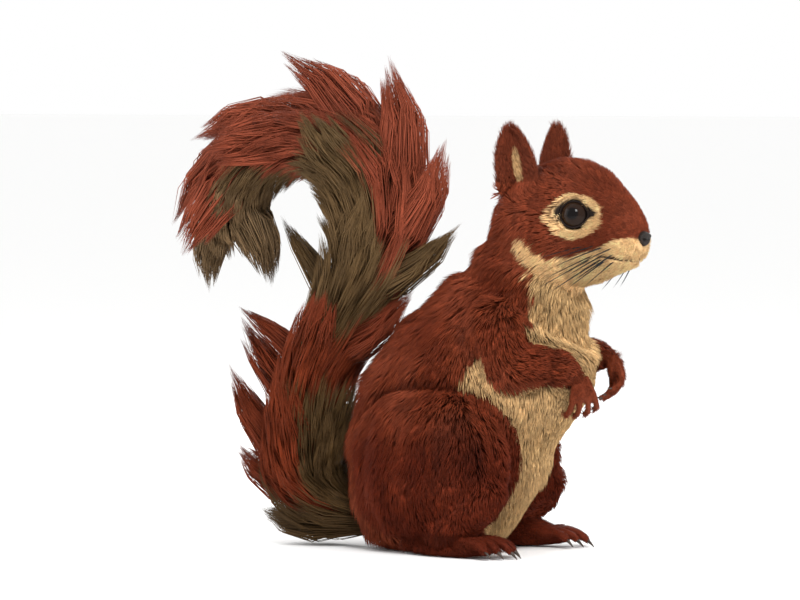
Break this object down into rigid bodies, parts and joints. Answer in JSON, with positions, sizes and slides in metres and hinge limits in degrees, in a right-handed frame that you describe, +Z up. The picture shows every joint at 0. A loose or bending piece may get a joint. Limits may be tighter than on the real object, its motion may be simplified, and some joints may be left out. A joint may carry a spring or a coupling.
{
  "type": "red squirrel",
  "caption": "Life-size squirrel sitting upright on its haunches, forepaws held before its chest, its bushy tail raised in an S behind its back.",
  "frame": {"origin": "on the floor, under the middle of the whole animal's box", "axes": "+X the way the animal faces, +Y its left, +Z up"},
  "size_m": [0.2058, 0.08, 0.1943],
  "materials": {
    "coat": "soft short fur, red-brown above and buff below",
    "tail_coat": "long bushy hair, brown and red",
    "horn": "dark bare skin and claw",
    "eye": "wet black eye"
  },
  "bodies": {
    "root": {"nose": "horn", "head": "coat", "trunk": "coat", "neck": "coat", "ear_left": "coat", "eye_left": "eye", "upper_arm_left": "coat", "forearm_left": "coat", "hand_left": "coat", "thigh_left": "coat", "shank_left": "coat", "foot_left": "coat", "ear_right": "coat", "eye_right": "eye", "upper_arm_right": "coat", "forearm_right": "coat", "hand_right": "coat", "thigh_right": "coat", "shank_right": "coat", "foot_right": "coat", "tail_1": "tail_coat", "tail_2": "tail_coat", "tail_3": "tail_coat", "tail_4": "tail_coat", "tail_5": "tail_coat", "tail_6": "tail_coat"}
  },
  "joints": []
}
